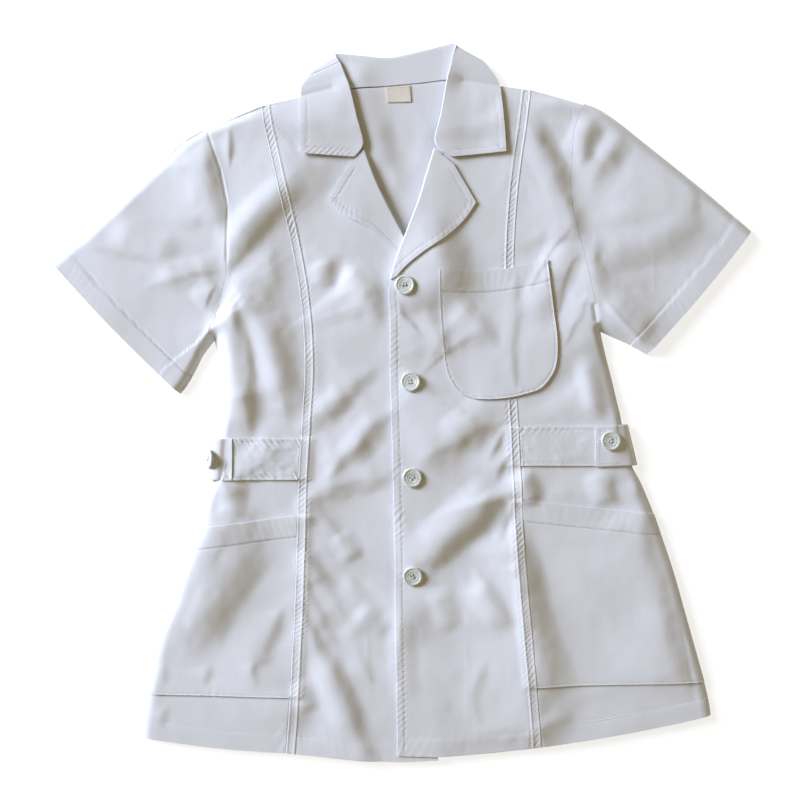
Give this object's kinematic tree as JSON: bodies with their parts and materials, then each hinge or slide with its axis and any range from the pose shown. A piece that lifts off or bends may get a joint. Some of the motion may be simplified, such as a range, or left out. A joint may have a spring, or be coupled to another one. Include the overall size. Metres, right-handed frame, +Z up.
{
  "type": "nurse tunic, short-sleeved top of a two-piece uniform, laid flat",
  "caption": "Short-sleeved button-front work tunic with notched collar, patch pockets and a buttoned half belt, laid flat and face up.",
  "frame": {"origin": "middle of the outline, on the surface that the tunic lies on", "axes": "+X towards the wearer's left sleeve, +Y towards the collar, +Z up, out of the front of the tunic"},
  "size_m": [0.7331, 0.7539, 0.019],
  "materials": {
    "white_cloth": "white cotton and polyester plain weave, washed, softly creased",
    "label_tape": "cream woven tape, blank",
    "button_resin": "pearly grey-green translucent resin, polished"
  },
  "bodies": {
    "root": {"back": "white_cloth", "front_right": "white_cloth", "front_left": "white_cloth", "side_front_right": "white_cloth", "side_front_left": "white_cloth", "sleeve_right": "white_cloth", "sleeve_left": "white_cloth", "collar": "white_cloth", "lapel_right": "white_cloth", "lapel_left": "white_cloth", "chest_pocket": "white_cloth", "hip_pocket_right": "white_cloth", "hip_pocket_left": "white_cloth", "waist_tab_right": "white_cloth", "waist_tab_left": "white_cloth", "back_belt": "white_cloth", "neck_label": "label_tape", "front_button_1": "button_resin", "front_button_2": "button_resin", "front_button_3": "button_resin", "front_button_4": "button_resin", "belt_button_right": "button_resin", "belt_button_left": "button_resin"}
  },
  "joints": []
}
